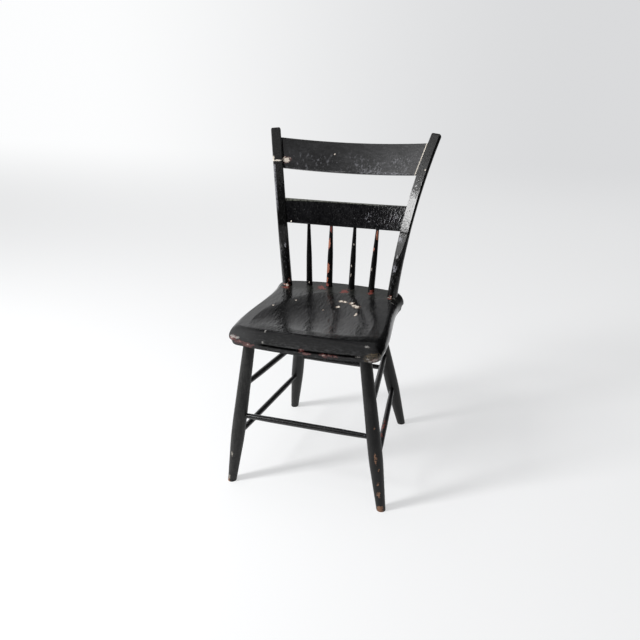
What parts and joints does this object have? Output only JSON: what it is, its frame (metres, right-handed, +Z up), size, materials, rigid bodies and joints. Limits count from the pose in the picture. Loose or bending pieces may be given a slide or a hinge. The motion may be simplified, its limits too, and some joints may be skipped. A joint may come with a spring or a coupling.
{
  "type": "plank seat chair",
  "caption": "Side chair with a thick shaped plank seat, splayed turned legs with stretchers, bent back posts, bowed slats and short tapered spindles, in worn black paint.",
  "frame": {"origin": "On the floor, under the middle of the chair's overall box.", "axes": "+Z is up. -Y is the way the sitter faces, so the back posts lean towards +Y. +X is the chair's left-to-right direction as seen from in front of it."},
  "size_m": [0.4638, 0.4835, 0.8392],
  "materials": {
    "seat_paint": "glossy black paint, worn through at the rolled front edge and round the spindles",
    "slat_paint": "black paint with fine cracks and pale scuffs",
    "post_paint": "black paint with pale rubbed places on the front flats",
    "leg_paint": "black paint, chipped, worn to bare wood at the feet",
    "rail_paint": "black paint with red-brown wear",
    "spindle_paint": "black paint with orange-brown streaks of bare wood",
    "peg_paint": "black paint over a wooden peg"
  },
  "bodies": {
    "root": {"seat_plank": "seat_paint", "crest_slat": "slat_paint", "mid_slat": "slat_paint", "slat_pegs": "peg_paint", "post_left": "post_paint", "leg_front_left": "leg_paint", "leg_back_left": "leg_paint", "post_right": "post_paint", "leg_front_right": "leg_paint", "leg_back_right": "leg_paint", "stretcher_front": "rail_paint", "stretcher_back": "rail_paint", "stretcher_left_upper": "rail_paint", "stretcher_left_lower": "rail_paint", "stretcher_right_upper": "rail_paint", "stretcher_right_lower": "rail_paint", "spindle_outer_left": "spindle_paint", "spindle_outer_right": "spindle_paint", "spindle_inner_left": "spindle_paint", "spindle_inner_right": "spindle_paint"}
  },
  "joints": []
}
